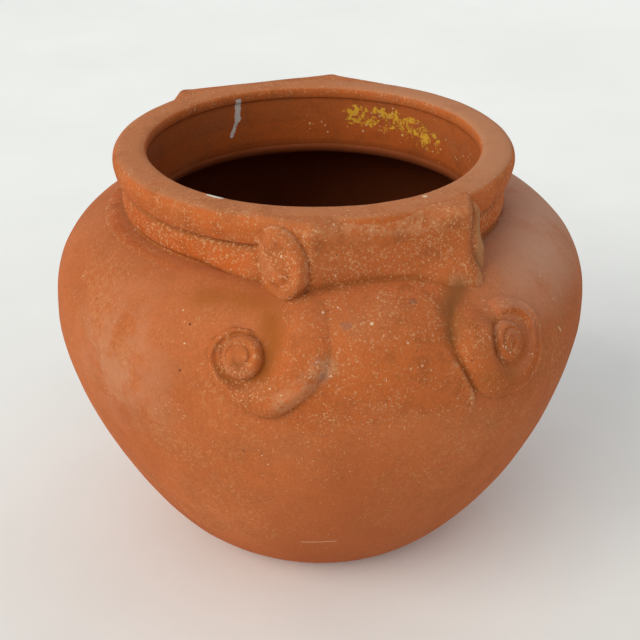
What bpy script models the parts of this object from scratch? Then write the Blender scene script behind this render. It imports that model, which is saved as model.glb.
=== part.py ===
"""Terracotta planter with two scrolled brackets, as the clay pieces that are luted together to make it.

Metres, +Z up, standing on the floor at z = 0. The front bracket faces -Y.
"""

import math

import bmesh
import bpy
from mathutils import Matrix, Vector

# Wall of the pot
FOOT_RADIUS = 0.106
FOOT_ROUND = 0.006
WIDEST_RADIUS = 0.220
WIDEST_HEIGHT = 0.2076
NECK_ROOT_RADIUS = 0.150
NECK_ROOT_HEIGHT = 0.294
BOWL_POWERS = (1.5, 0.725)
SHOULDER_POWERS = (2.8, 0.617)
WALL = 0.015
BASE_THICKNESS = 0.016
DRAIN_RADIUS = 0.013
SHOULDER_TOP = 0.288
INNER_LIP = 0.003

# Neck and rim, which stand a little to one side of the body's axis
RIM_SHIFT = (-0.0050, 0.0016)
RIM_TOP = 0.343
RIM_UNDERSIDE = 0.316
RIM_RADIUS = 0.1615
RIM_EDGE_ROUND = 0.005
RIM_UNDER_ROUND = 0.010
MOUTH_RADIUS = 0.134
NECK_RADIUS = 0.1485
NECK_HOLLOW = 0.009
NECK_FOOT_RADIUS = 0.169
NECK_FOOT_EDGE = 0.003

# Brackets: turn about +Z in degrees, how far out the face stands, the front edge's reach to each hand,
# and the thickness of the volutes on the flanks
BRACKETS = {
    "front": {"turn": 0.0, "face": 0.164, "left": 0.052, "right": 0.0695, "volute": 0.010},
    "rear": {"turn": 183.0, "face": 0.162, "left": 0.077, "right": 0.070, "volute": 0.007},
}
BRACKET_BACK = 0.143
BRACKET_ROUND_OVER = 0.015
BRACKET_CURL = 0.010
BRACKET_BOTTOM = 0.284
FLANK_BITE = math.radians(3)
STEEP_SPLAY = {("front", "right"): math.radians(20), ("rear", "right"): math.radians(26)}
HANDS = (("left", -1), ("right", 1))
VOLUTE_RADIUS = 0.031
VOLUTE_SQUEEZE = 0.64
VOLUTE_ALONG_FLANK = 0.0165
VOLUTE_HEIGHT = 0.307
VOLUTE_EYE = 0.008
VOLUTE_GROOVE = (0.012, 0.017)
VOLUTE_RING = 0.021
GROOVE_DEPTH = 0.003
BEAD_ROUND = 0.004

# Lower scrolls and the apron between them
SCROLL_TURN = math.radians(-4.5)
EYE_TURN = math.radians(26.8)
EYE_HEIGHTS = {"left": 0.257, "right": 0.251}
COIL_RADIUS = 0.0155
COIL_RISE = 0.009
COIL_EYE = 0.0035
COIL_GROOVE = (0.006, 0.0085)
RIBBON_START = 0.0225
RIBBON_GROWTH = 0.0290
RIBBON_GROWTH_POWER = 1.5
RIBBON_INNER_START = 0.0190
RIBBON_INNER_GROWTH = 0.0070
RIBBON_TURN = math.radians(330)
RIBBON_RISE = 0.006
APRON_HEIGHT = 0.250
APRON_RISE = 0.008
APRON_FEATHER = 0.0015
APRON_FOOT_HEIGHT = 0.222
APRON_OUTLINE = [(0.046, 0.066), (0.050, 0.000), (0.068, -0.024), (0.040, -0.032)]

# Gap left for the slip in every joint, and the fineness of the mesh
GAP = 0.0003
MERGE = 0.00005
CUTTER_SPAN = (0.27, 0.36)
CUTTER_SIDE = 0.2
RELIEF_SPAN = (-0.05, 0.05)
SLOPE_STEP = 0.0004
WALL_STEPS = 8
INNER_WALL_STEPS = 5
HEIGHT_SPACING = 1.4
SPIRAL_STEPS = 22
TURN_STEPS = 60
DISC_STEPS = 20
ARC_STEPS = 3
EDGE_ANGLE = math.radians(35)

CLAY = (0.480, 0.125, 0.042)
PALE_CLAY = (0.470, 0.150, 0.058)
DARK_CLAY = (0.400, 0.105, 0.034)
CLAY_ROUGHNESS = 0.9


def clear_scene():
    for old in list(bpy.data.objects):
        bpy.data.objects.remove(old, do_unlink=True)


def new_collection(name):
    made = bpy.data.collections.new(name)
    bpy.context.scene.collection.children.link(made)
    return made


def fired_clay(name, colour):
    material = bpy.data.materials.new(name)
    material.use_nodes = True
    shader = material.node_tree.nodes["Principled BSDF"]
    shader.inputs["Base Color"].default_value = (*colour, 1.0)
    shader.inputs["Roughness"].default_value = CLAY_ROUGHNESS
    shader.inputs["Metallic"].default_value = 0.0
    return material


def empty(name, location=(0, 0, 0), turn=0.0, parent=None):
    made = bpy.data.objects.new(name, None)
    made.location = location
    made.rotation_euler = (0, 0, turn)
    made.parent = parent
    parts.objects.link(made)
    return made


def keep_as_part(piece, colour):
    piece.data.materials.clear()
    piece.data.materials.append(fired_clay(piece.name, colour))
    parts.objects.link(piece)
    return piece


def keep_as_cutter(piece):
    piece.hide_render = True
    piece.display_type = "WIRE"
    cutters.objects.link(piece)
    return piece


def cut(piece, operation, *tools):
    for tool in tools:
        boolean = piece.modifiers.new(f"{operation.lower()} {tool.name}", "BOOLEAN")
        boolean.operation = operation
        boolean.solver = "EXACT"
        boolean.object = tool
    return piece


def arc(centre, radius, first, last, steps=ARC_STEPS):
    """Points of a round corner; angles in degrees, counter-clockwise from the first axis."""
    angles = [math.radians(first + (last - first) * i / steps) for i in range(steps + 1)]
    return [(centre[0] + radius * math.cos(a), centre[1] + radius * math.sin(a)) for a in angles]


def turned(name, outline, closed=True, steps=TURN_STEPS):
    """A body of revolution about the object's Z axis. The outline runs down its outer side."""
    mesh = bpy.data.meshes.new(name)
    points = [(radius, 0.0, height) for radius, height in outline]
    edges = [(i, i + 1) for i in range(len(points) - 1)]
    if closed:
        edges.append((len(points) - 1, 0))
    mesh.from_pydata(points, edges, [])
    piece = bpy.data.objects.new(name, mesh)
    screw = piece.modifiers.new("turn", "SCREW")
    screw.steps = steps
    screw.render_steps = steps
    screw.use_merge_vertices = True
    screw.merge_threshold = MERGE
    return piece


def extruded(name, outline, near, far, frame=None):
    """A flat outline in the object's XY plane, carried along its Z axis from near to far."""
    curve = bpy.data.curves.new(name, "CURVE")
    curve.dimensions = "2D"
    curve.fill_mode = "BOTH"
    curve.extrude = (far - near) / 2
    spline = curve.splines.new("POLY")
    spline.points.add(len(outline) - 1)
    for point, (x, y) in zip(spline.points, outline):
        point.co = (x, y, 0.0, 1.0)
    spline.use_cyclic_u = True
    drawn = bpy.data.objects.new(name + "_outline", curve)
    bpy.context.scene.collection.objects.link(drawn)
    bpy.context.view_layer.update()
    depsgraph = bpy.context.evaluated_depsgraph_get()
    mesh = bpy.data.meshes.new_from_object(drawn.evaluated_get(depsgraph))
    bpy.data.objects.remove(drawn, do_unlink=True)
    mesh.name = name
    weld = bmesh.new()
    weld.from_mesh(mesh)
    bmesh.ops.remove_doubles(weld, verts=weld.verts, dist=MERGE)
    bmesh.ops.translate(weld, verts=weld.verts, vec=(0, 0, (near + far) / 2))
    bmesh.ops.recalc_face_normals(weld, faces=weld.faces)
    weld.to_mesh(mesh)
    weld.free()
    piece = bpy.data.objects.new(name, mesh)
    if frame is not None:
        piece.matrix_local = frame
    return piece


def wall_radius(height):
    """Outer radius of the pot's wall: a full bowl up to the widest line, then a rounder shoulder."""
    if height <= WIDEST_HEIGHT:
        share = height / WIDEST_HEIGHT
        fullness, swell = BOWL_POWERS
        return FOOT_RADIUS + (WIDEST_RADIUS - FOOT_RADIUS) * (1 - (1 - share) ** fullness) ** swell
    share = (height - WIDEST_HEIGHT) / (NECK_ROOT_HEIGHT - WIDEST_HEIGHT)
    fullness, swell = SHOULDER_POWERS
    return NECK_ROOT_RADIUS + (WIDEST_RADIUS - NECK_ROOT_RADIUS) * (1 - share**fullness) ** swell


def wall_heights(low, high, steps=WALL_STEPS):
    """Heights from high down to low, closer together near the top."""
    return [high - (high - low) * (i / steps) ** HEIGHT_SPACING for i in range(steps + 1)]


def wall_outline(heights, offset_at=lambda height: 0.0):
    """Points on the outer wall at these heights, moved out square to it by offset_at(height)."""
    points = []
    for height in heights:
        upper = min(height + SLOPE_STEP, NECK_ROOT_HEIGHT)
        lower = max(height - SLOPE_STEP, 0.0)
        slope = (wall_radius(upper) - wall_radius(lower)) / (upper - lower)
        normal = Vector((1.0, -slope)).normalized()
        offset = offset_at(height)
        points.append((wall_radius(height) + offset * normal.x, height + offset * normal.y))
    return points


def body_outline(offset_at):
    """The whole outer wall as one solid's outline, moved out by offset_at(height)."""
    points = wall_outline([NECK_ROOT_HEIGHT] + SHOULDER_HEIGHTS + BOWL_HEIGHTS + [0.0], offset_at)
    return [(0.0, points[0][1]), *points, (0.0, points[-1][1])]


def make_base():
    foot = arc((FOOT_RADIUS, FOOT_ROUND), FOOT_ROUND, -30, -90)
    outline = wall_outline(wall_heights(FOOT_ROUND, BASE_THICKNESS, ARC_STEPS)) + foot
    outline += [(DRAIN_RADIUS, 0.0), (DRAIN_RADIUS, BASE_THICKNESS)]
    return keep_as_part(turned("base_slab", outline), DARK_CLAY)


def make_bowl():
    outer = wall_outline(BOWL_HEIGHTS)
    inner = [(radius - WALL, height) for radius, height in reversed(outer[::2])]
    return keep_as_part(turned("bowl_wall", outer + inner), CLAY)


def make_shoulder():
    outer = wall_outline(SHOULDER_HEIGHTS)
    inner_heights = wall_heights(WIDEST_HEIGHT, NECK_ROOT_HEIGHT - GAP, INNER_WALL_STEPS)
    inside = wall_outline(inner_heights, lambda height: -WALL)
    inner = [(radius, max(height, WIDEST_HEIGHT)) for radius, height in reversed(inside)]
    under = inner[-1][1]
    lip = [(MOUTH_RADIUS + INNER_LIP, under), (MOUTH_RADIUS, under + INNER_LIP), (MOUTH_RADIUS, SHOULDER_TOP)]
    return keep_as_part(turned("shoulder_wall", outer + inner + lip), CLAY)


def neck_outline(offset=0.0):
    """Outer side of the neck, from under the rim down a hollow to its spread foot."""
    foot = SHOULDER_TOP + GAP
    centre = (NECK_RADIUS + NECK_HOLLOW, foot + NECK_FOOT_EDGE + NECK_HOLLOW)
    sweep = arc(centre, NECK_HOLLOW, 180, 262)
    top = [(NECK_RADIUS, RIM_UNDERSIDE - GAP)]
    points = top + sweep + [(NECK_FOOT_RADIUS, foot)]
    return [(radius + offset, height) for radius, height in points]


def make_neck():
    inner = [(MOUTH_RADIUS, SHOULDER_TOP + GAP), (MOUTH_RADIUS, RIM_UNDERSIDE - GAP)]
    neck = keep_as_part(turned("neck_collar", neck_outline() + inner), CLAY)
    neck.parent = rim_axis
    return neck


def rim_outline(offset=0.0):
    """Outer side of the rim, from its flat top over a rounded edge to its tapered underside."""
    edge = RIM_EDGE_ROUND
    bottom = RIM_UNDER_ROUND
    top = arc((RIM_RADIUS - edge, RIM_TOP - edge), edge + offset, 90, 0)
    under = arc((RIM_RADIUS - bottom, RIM_UNDERSIDE + bottom), bottom + offset, 0, -80)
    return top + under


def make_rim():
    edge = RIM_EDGE_ROUND
    lip = arc((MOUTH_RADIUS + edge, RIM_TOP - edge), edge, 180, 90)
    rim = keep_as_part(turned("rim_ring", rim_outline() + [(MOUTH_RADIUS, RIM_UNDERSIDE)] + lip), PALE_CLAY)
    rim.parent = rim_axis
    return rim


def flank_angle(end, hand):
    """Splay of a bracket's flank: two are given, the others run back until they just bite the rim."""
    if (end, hand) in STEEP_SPLAY:
        return STEEP_SPLAY[end, hand]
    half, face = BRACKETS[end][hand], BRACKETS[end]["face"]
    return math.asin(RIM_RADIUS / math.hypot(half, face)) - math.atan(half / face) - FLANK_BITE


def flank_reach(end, hand):
    """How far back from the front edge the flank meets the rim's circle."""
    half, face = BRACKETS[end][hand], BRACKETS[end]["face"]
    corner = math.hypot(half, face)
    to_axis = flank_angle(end, hand) + math.atan(half / face)
    length = corner * math.cos(to_axis) - math.sqrt(RIM_RADIUS**2 - (corner * math.sin(to_axis)) ** 2)
    return length * math.cos(flank_angle(end, hand))


def bracket_plan(end, front_outset=0.0, flank_outset=0.0):
    """The bracket seen from above, in the bracket's own X and Y: a front edge and two splayed flanks."""
    face = BRACKETS[end]["face"]
    corners = []
    for hand, sign in HANDS:
        half = BRACKETS[end][hand]
        angle = flank_angle(end, hand)
        reach = flank_reach(end, hand)
        side = half + (flank_outset - front_outset * math.sin(angle)) / math.cos(angle)
        spread = half + (flank_outset + reach * math.sin(angle)) / math.cos(angle)
        corners.append([(sign * side, -face - front_outset), (sign * spread, -face + reach)])
    left, right = corners
    return left[::-1] + right


def bracket_section(out, reach):
    """The bracket cut across, as distance out and height: flat top, round-over, face, curled lower edge."""
    over = BRACKET_ROUND_OVER
    curl = BRACKET_CURL
    points = [(out - reach, RIM_TOP)]
    points += arc((out - over, RIM_TOP - over), over, 90, 0, 5)
    points += arc((out - curl, BRACKET_BOTTOM + curl), curl, 0, -90)
    return points + [(out - reach, BRACKET_BOTTOM)]


def upright_frame(origin, across, up):
    """A frame whose X runs across, whose Y runs up, and whose Z faces out."""
    across = Vector(across).normalized()
    up = Vector(up).normalized()
    out = across.cross(up)
    frame = Matrix((across, up, out)).transposed().to_4x4()
    frame.translation = origin
    return frame


def make_bracket(end):
    axis = empty(f"{end}_bracket_axis", turn=math.radians(BRACKETS[end]["turn"]), parent=rim_axis)

    # The section is drawn with its X pointing out of the pot, along the bracket's -Y
    section_frame = upright_frame((0, 0, 0), (0, -1, 0), (0, 0, 1))
    reach = max(flank_reach(end, hand) for hand, sign in HANDS)
    length = max(abs(across) for across, out in bracket_plan(end))
    section = bracket_section(BRACKETS[end]["face"], reach)
    bracket = extruded(f"{end}_bracket", section, -length, length, section_frame)
    plan = keep_as_cutter(extruded(f"{end}_plan", bracket_plan(end), *CUTTER_SPAN))
    seat = keep_as_cutter(extruded(f"{end}_seat", seat_plan(BRACKET_BACK), *CUTTER_SPAN))
    behind = keep_as_cutter(turned(f"{end}_behind", clearance_outline(), closed=False))
    wider_seat = seat_plan(BRACKET_BACK + GAP)
    room = keep_as_cutter(extruded(f"{end}_room", wider_seat, RIM_UNDERSIDE, CUTTER_SPAN[1]))
    for piece in (bracket, plan, seat, behind, room):
        piece.parent = axis
    cut(behind, "DIFFERENCE", room)
    cut(rim_ring, "DIFFERENCE", seat)
    cut(bracket, "INTERSECT", plan)
    cut(bracket, "DIFFERENCE", behind, body_clearance)
    keep_as_part(bracket, CLAY)

    # What stands in front of the neck keeps the scrolls and the apron out of its way
    around = bracket_plan(end, 2 * GAP, BRACKETS[end]["volute"] + 2 * GAP)
    above = keep_as_cutter(extruded(f"{end}_above", around, *CUTTER_SPAN))
    above.parent = axis
    return [above] + [make_volute(end, hand, sign, axis) for hand, sign in HANDS]


def seat_plan(back):
    """The part of the rim that is cut away so that the bracket can sit in it."""
    side = CUTTER_SIDE
    return [(-side, -side), (side, -side), (side, -back), (-side, -back)]


def clearance_outline():
    """Rim and neck as one solid with the slip gap added, for trimming what is set against them."""
    outer = rim_outline(GAP) + neck_outline(GAP)
    return [(0.0, outer[0][1]), *outer, (0.0, outer[-1][1])]


def make_volute(end, hand, sign, axis):
    """A disc squeezed upright, with a raised ring and eye, set on the bracket's flank; returns its room."""
    rise = BRACKETS[end]["volute"]
    groove = [(radius, rise - GROOVE_DEPTH) for radius in VOLUTE_GROOVE]
    bead = arc((VOLUTE_RADIUS - BEAD_ROUND, rise - BEAD_ROUND), BEAD_ROUND, 90, 0, 2)
    outline = [(0.0, rise), (VOLUTE_EYE, rise), *groove, (VOLUTE_RING, rise), *bead]
    outline += [(VOLUTE_RADIUS, GAP), (0.0, GAP)]
    disc = turned(f"{end}_{hand}_volute", outline, closed=False, steps=DISC_STEPS)
    wider = VOLUTE_RADIUS + 2 * GAP
    clear = [(0.0, rise + 2 * GAP), (wider, rise + 2 * GAP), (wider, -2 * GAP), (0.0, -2 * GAP)]
    room = turned(f"{end}_{hand}_volute_room", clear, closed=False, steps=DISC_STEPS)
    angle = flank_angle(end, hand)
    along = Vector((sign * math.sin(angle), math.cos(angle), 0))
    corner = Vector((sign * BRACKETS[end][hand], -BRACKETS[end]["face"], VOLUTE_HEIGHT))
    placed = upright_frame(corner + along * VOLUTE_ALONG_FLANK, sign * along, (0, 0, 1))
    for piece in (disc, room):
        piece.matrix_local = placed @ Matrix.Diagonal((VOLUTE_SQUEEZE, 1, 1, 1))
        piece.parent = axis
    cut(disc, "DIFFERENCE", body_clearance, rim_clearance)
    keep_as_part(disc, CLAY)
    return keep_as_cutter(room)


def wall_frame(turn, height):
    """A frame on the wall: X runs round it to the right, Y up it, Z out of it."""
    slope = (wall_radius(height + SLOPE_STEP) - wall_radius(height - SLOPE_STEP)) / (2 * SLOPE_STEP)
    out = Vector((math.sin(turn), -math.cos(turn), 0))
    across = Vector((math.cos(turn), math.sin(turn), 0))
    origin = out * wall_radius(height) + Vector((0, 0, height))
    return upright_frame(origin, across, out * slope + Vector((0, 0, 1)))


def ribbon_edge(turn):
    """Outer edge of the ribbon, as distance from the eye, after turning from the top of the scroll."""
    return RIBBON_START + RIBBON_GROWTH * (turn / math.radians(270)) ** RIBBON_GROWTH_POWER


def spiral(radius_at, sign):
    """Points round the eye, from straight above it, outwards and down; sign mirrors the hand."""
    points = []
    for i in range(SPIRAL_STEPS + 1):
        turn = RIBBON_TURN * i / SPIRAL_STEPS
        radius = radius_at(turn)
        points.append((sign * radius * math.sin(turn), radius * math.cos(turn)))
    return points


def make_scroll(end, hand, sign, axis, above):
    """One lower scroll: a ribbon that widens as it leaves the eye, and a coil in the eye."""
    frame = wall_frame(SCROLL_TURN + sign * EYE_TURN, EYE_HEIGHTS[hand])
    outer = spiral(ribbon_edge, sign)
    inner = spiral(lambda turn: RIBBON_INNER_START + RIBBON_INNER_GROWTH * turn / RIBBON_TURN, sign)
    ribbon = extruded(f"{end}_{hand}_ribbon", outer + inner[::-1], *RELIEF_SPAN, frame)
    groove = [(radius, COIL_RISE - GROOVE_DEPTH) for radius in COIL_GROOVE]
    bead = arc((COIL_RADIUS - BEAD_ROUND, COIL_RISE - BEAD_ROUND), BEAD_ROUND, 90, 0, 2)
    outline = [(0.0, COIL_RISE), (COIL_EYE, COIL_RISE), *groove, *bead]
    outline += [(COIL_RADIUS, -2 * COIL_RISE), (0.0, -2 * COIL_RISE)]
    coil = turned(f"{end}_{hand}_coil", outline, closed=False, steps=DISC_STEPS)
    coil.matrix_local = frame
    for piece in (ribbon, coil):
        piece.parent = axis
    cut(ribbon, "INTERSECT", ribbon_face)
    cut(ribbon, "DIFFERENCE", body_clearance, *above)
    cut(coil, "DIFFERENCE", body_clearance)
    keep_as_part(ribbon, CLAY)
    keep_as_part(coil, CLAY)

    swept = spiral(lambda turn: ribbon_edge(turn) + 2 * GAP, sign)
    room = keep_as_cutter(extruded(f"{end}_{hand}_sweep", swept, *RELIEF_SPAN, frame))
    room.parent = axis
    return room


def make_apron(end, axis, above, sweeps):
    frame = wall_frame(SCROLL_TURN, APRON_HEIGHT)
    left = [(-across, up) for across, up in reversed(APRON_OUTLINE)]
    apron = extruded(f"{end}_apron", APRON_OUTLINE + left, *RELIEF_SPAN, frame)
    apron.parent = axis
    cut(apron, "INTERSECT", apron_face)
    cut(apron, "DIFFERENCE", body_clearance, *above, *sweeps)
    return keep_as_part(apron, CLAY)


def apron_rise(height):
    """The apron stands proud under the bracket and dies away towards its foot."""
    share = (height - APRON_FOOT_HEIGHT) / (SHOULDER_TOP - APRON_FOOT_HEIGHT)
    return APRON_FEATHER + (APRON_RISE - APRON_FEATHER) * min(max(share, 0.0), 1.0)


def smooth_round_pieces():
    for piece in parts.objects:
        if piece.type == "MESH":
            piece.data.shade_smooth()
            piece.data.set_sharp_from_angle(angle=EDGE_ANGLE)


clear_scene()
parts = new_collection("terracotta_planter")
cutters = new_collection("cutters")
rim_axis = empty("rim_axis", location=(*RIM_SHIFT, 0))

BOWL_HEIGHTS = wall_heights(BASE_THICKNESS + GAP, WIDEST_HEIGHT - GAP)
SHOULDER_HEIGHTS = wall_heights(WIDEST_HEIGHT, SHOULDER_TOP)

make_base()
make_bowl()
make_shoulder()
make_neck()
rim_ring = make_rim()

body_clearance = keep_as_cutter(turned("body_clearance", body_outline(lambda height: GAP), False))
rim_clearance = keep_as_cutter(turned("rim_clearance", clearance_outline(), False))
rim_clearance.parent = rim_axis
ribbon_face = keep_as_cutter(turned("ribbon_face", body_outline(lambda height: RIBBON_RISE), False))
apron_face = keep_as_cutter(turned("apron_face", body_outline(apron_rise), False))

for end in BRACKETS:
    above = make_bracket(end)
    scroll_axis = empty(f"{end}_scroll_axis", turn=math.radians(BRACKETS[end]["turn"]))
    sweeps = []
    for hand, sign in HANDS:
        sweeps.append(make_scroll(end, hand, sign, scroll_axis, above))
    make_apron(end, scroll_axis, above, sweeps)

smooth_round_pieces()
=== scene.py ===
import math

import bmesh
import bpy
import numpy
from mathutils import Matrix, Vector, noise
from mathutils.bvhtree import BVHTree


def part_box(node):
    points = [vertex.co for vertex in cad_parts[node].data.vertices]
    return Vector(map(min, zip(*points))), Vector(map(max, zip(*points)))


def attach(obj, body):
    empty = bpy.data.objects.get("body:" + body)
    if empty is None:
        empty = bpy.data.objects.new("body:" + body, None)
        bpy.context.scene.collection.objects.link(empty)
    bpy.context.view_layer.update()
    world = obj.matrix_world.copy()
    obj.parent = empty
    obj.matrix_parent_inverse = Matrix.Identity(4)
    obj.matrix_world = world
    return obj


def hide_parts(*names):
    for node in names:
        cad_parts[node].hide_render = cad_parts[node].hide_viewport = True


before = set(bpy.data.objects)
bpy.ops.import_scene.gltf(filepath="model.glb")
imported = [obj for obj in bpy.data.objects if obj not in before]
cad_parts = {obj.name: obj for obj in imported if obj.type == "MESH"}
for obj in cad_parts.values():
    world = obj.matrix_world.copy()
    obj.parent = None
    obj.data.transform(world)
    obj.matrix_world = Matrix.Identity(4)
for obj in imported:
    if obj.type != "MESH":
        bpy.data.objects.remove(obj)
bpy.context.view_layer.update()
bpy.context.scene.view_settings.view_transform = "Standard"


# Pot wall. One skin of red earthenware: a full round bowl that rolls over into the shoulder,
# pressed in a mould and smoothed by hand. It stands on its foot, and every other piece of clay
# is luted to it with slip before the firing.
FOOT = 0.106
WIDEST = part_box("bowl_wall")[1].x
WIDEST_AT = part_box("shoulder_wall")[0].z
SHOULDER_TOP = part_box("shoulder_wall")[1].z
NECK_ROOT = (0.150, 0.294)
WALL = 0.015
MOUTH = 0.134
RIM_AXIS = Vector(((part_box("rim_ring")[0].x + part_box("rim_ring")[1].x) / 2, 0.0016, 0))
DENT, RIPPLE = 0.0011, 0.00035
clay_pieces = []
noise.seed_set(7)


def wall_radius(height):
    """Outer radius of the pot: a full bowl up to the widest line, then a rounder shoulder."""
    if height <= WIDEST_AT:
        share = max(height, 0.0) / WIDEST_AT
        return FOOT + (WIDEST - FOOT) * (1 - (1 - share) ** 1.5) ** 0.725
    share = min((height - WIDEST_AT) / (NECK_ROOT[1] - WIDEST_AT), 1.0)
    return NECK_ROOT[0] + (WIDEST - NECK_ROOT[0]) * (1 - share**2.8) ** 0.617


def wall_normal(point):
    """Which way the outer wall faces at a point on it."""
    height = min(point.z, 0.2925)
    slope = (wall_radius(height + 0.0004) - wall_radius(height - 0.0004)) / 0.0008
    out = Vector((point.x, point.y, 0)).normalized()
    return Vector((out.x, out.y, -slope)).normalized()


def eased(a, b, share):
    """From a to b as the share goes from 0 to 1, slowly at both ends."""
    share = min(max(share, 0.0), 1.0)
    return a + (b - a) * share * share * (3 - 2 * share)


def drawn_through(points, between):
    """A smooth line through a few points, with this many steps between each two."""
    line = []
    for i in range(len(points) - 1):
        before, a = Vector(points[max(i - 1, 0)]), Vector(points[i])
        b, after = Vector(points[i + 1]), Vector(points[min(i + 2, len(points) - 1)])
        for step in range(between):
            t = step / between
            line.append(
                0.5 * (2 * a + (b - before) * t + (2 * before - 5 * a + 4 * b - after) * t**2
                       + (3 * a - before - 3 * b + after) * t**3)
            )
    return [*line, Vector(points[-1])]


def turned(outline, steps):
    """Spins a closed outline of (radius, height) points once round the Z axis."""
    clay = bmesh.new()
    ring = [clay.verts.new((radius, 0.0, height)) for radius, height in outline]
    edges = [clay.edges.new((ring[i - 1], ring[i])) for i in range(len(ring))]
    bmesh.ops.spin(clay, geom=ring + edges, axis=(0, 0, 1), angle=math.tau, steps=steps, use_merge=True)
    bmesh.ops.remove_doubles(clay, verts=clay.verts, dist=0.00002)
    bmesh.ops.recalc_face_normals(clay, faces=clay.faces)
    return clay


def hand_formed(point):
    """The small unevenness of hand-pressed clay, the same for all pieces so that they stay seated."""
    dents = noise.noise_vector(point * 9.0) * DENT
    ripples = noise.noise_vector(point * 38.0 + Vector((3.1, 7.7, 1.3))) * RIPPLE
    moved = dents + ripples
    moved.z *= min(max(point.z / 0.03, 0.0), 1.0)
    return moved


def set_piece(name, clay, material, slot, *nodes):
    """Puts a piece of clay on the pot, in place of these solids."""
    for vert in clay.verts:
        vert.co += hand_formed(vert.co)
    mesh = bpy.data.meshes.new(name)
    clay.to_mesh(mesh)
    clay.free()
    mesh.shade_smooth()
    mesh.materials.append(material)
    piece = bpy.data.objects.new(name, mesh)
    bpy.context.scene.collection.objects.link(piece)
    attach(piece, "root")
    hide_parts(*nodes)
    clay_pieces.append(piece)


def plug(clay, socket, value):
    """Gives a shader socket a value, or links another socket to it."""
    if isinstance(value, bpy.types.NodeSocket):
        clay.node_tree.links.new(value, socket)
    else:
        socket.default_value = value


def add(clay, kind, plugs, **settings):
    """Adds a shader node, with values or other sockets for its inputs."""
    made = clay.node_tree.nodes.new("ShaderNode" + kind)
    for name, value in settings.items():
        setattr(made, name, value)
    for name, value in plugs.items():
        plug(clay, made.inputs[name], value)
    return made


def calc(clay, how, first, second=0.0):
    return add(clay, "Math", {0: first, 1: second}, operation=how).outputs[0]


def both(clay, first, *others):
    for other in others:
        first = calc(clay, "MULTIPLY", first, other)
    return first


def total(clay, first, *others):
    for other in others:
        first = calc(clay, "ADD", first, other)
    return first


def vector(clay, how, first, second):
    """Vector maths; the second value is the factor when the first is scaled."""
    made = add(clay, "VectorMath", {0: first, "Scale" if how == "SCALE" else 1: second}, operation=how)
    return made.outputs["Value" if how in ("DISTANCE", "DOT_PRODUCT") else "Vector"]


def ramp(clay, value, low, high):
    """Rises smoothly from 0 to 1 as the value goes from low to high."""
    plugs = {"Value": value, "From Min": low, "From Max": high}
    return add(clay, "MapRange", plugs, interpolation_type="SMOOTHSTEP").outputs[0]


def scaled(clay, value, low, high, to_low, to_high):
    """Goes evenly from to_low to to_high as the value goes from low to high."""
    plugs = {"Value": value, "From Min": low, "From Max": high, "To Min": to_low, "To Max": to_high}
    return add(clay, "MapRange", plugs).outputs[0]


def mixed(clay, share, first, second, how="MIX"):
    made = add(clay, "Mix", {}, data_type="RGBA", blend_type=how)
    plug(clay, made.inputs[0], share)
    plug(clay, made.inputs[6], first)
    plug(clay, made.inputs[7], second)
    return made.outputs[2]


def tint(red, green, blue):
    return (red, green, blue, 1.0)


def object_place(clay):
    return add(clay, "TexCoord", {}).outputs["Object"]


def attribute(clay, name):
    return add(clay, "Attribute", {}, attribute_name=name).outputs["Fac"]


def along_axis(clay, axis):
    return add(clay, "SeparateXYZ", {0: object_place(clay)}).outputs[axis]


def facing_up(clay):
    return add(clay, "SeparateXYZ", {0: add(clay, "NewGeometry", {}).outputs["Normal"]}).outputs[2]


def clouds(clay, scale, detail=3.0, roughness=0.5, place=None):
    plugs = {"Vector": place or object_place(clay), "Scale": scale, "Detail": detail, "Roughness": roughness}
    return add(clay, "TexNoise", plugs).outputs[0]


def patchy(clay, scale, detail, roughness, low, high):
    """Soft-edged patches, 1 where the clouds are over high and 0 where they are under low."""
    return ramp(clay, clouds(clay, scale, detail, roughness), low, high)


def near(clay, spot, radius, soft=0.5):
    """1 at a spot on the pot, 0 beyond this radius from it."""
    away = vector(clay, "DISTANCE", object_place(clay), spot)
    return ramp(clay, away, radius, radius * (1 - soft))


def near_line(clay, start, end, width, soft=0.65):
    """1 along a line on the pot, 0 beyond this distance from it."""
    run = Vector(end) - Vector(start)
    off = vector(clay, "SUBTRACT", object_place(clay), start)
    share = vector(clay, "DOT_PRODUCT", off, run / run.length_squared)
    share = add(clay, "Clamp", {0: share}).outputs[0]
    away = vector(clay, "DISTANCE", off, vector(clay, "SCALE", run, share))
    return ramp(clay, away, width, width * (1 - soft))


def near_lines(clay, soft, *lines):
    """1 along any of these lines, each with its start, its end and its width."""
    share = 0.0
    for start, end, width in lines:
        share = calc(clay, "MAXIMUM", share, near_line(clay, start, end, width, soft))
    return share


def ragged(clay, share, scale, bare=0.5):
    """Breaks a soft patch up into an uneven one; the larger bare is, the less is left of it."""
    rough = calc(clay, "SUBTRACT", clouds(clay, scale, 4.0, 0.68), bare)
    rough = calc(clay, "ADD", share, calc(clay, "MULTIPLY", rough, 2.4))
    return both(clay, ramp(clay, rough, 0.50, 0.72), ramp(clay, share, 0.0, 0.15))


def outside(clay):
    """1 on the outside of the pot, 0 inside it."""
    return ramp(clay, attribute(clay, "inside"), 0.15, 0.0)


def lay_over(clay, colour, share):
    """Lays a colour over the clay's present one."""
    shader = clay.node_tree.nodes["Principled BSDF"]
    under = shader.inputs["Base Color"].links[0].from_socket
    plug(clay, shader.inputs["Base Color"], mixed(clay, share, under, colour))


def dot_over(clay, colour, strength, spots):
    """Lays a colour over a few single spots, each with its place and its size."""
    for spot, size in spots:
        lay_over(clay, colour, both(clay, near(clay, spot, size), strength))


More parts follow.
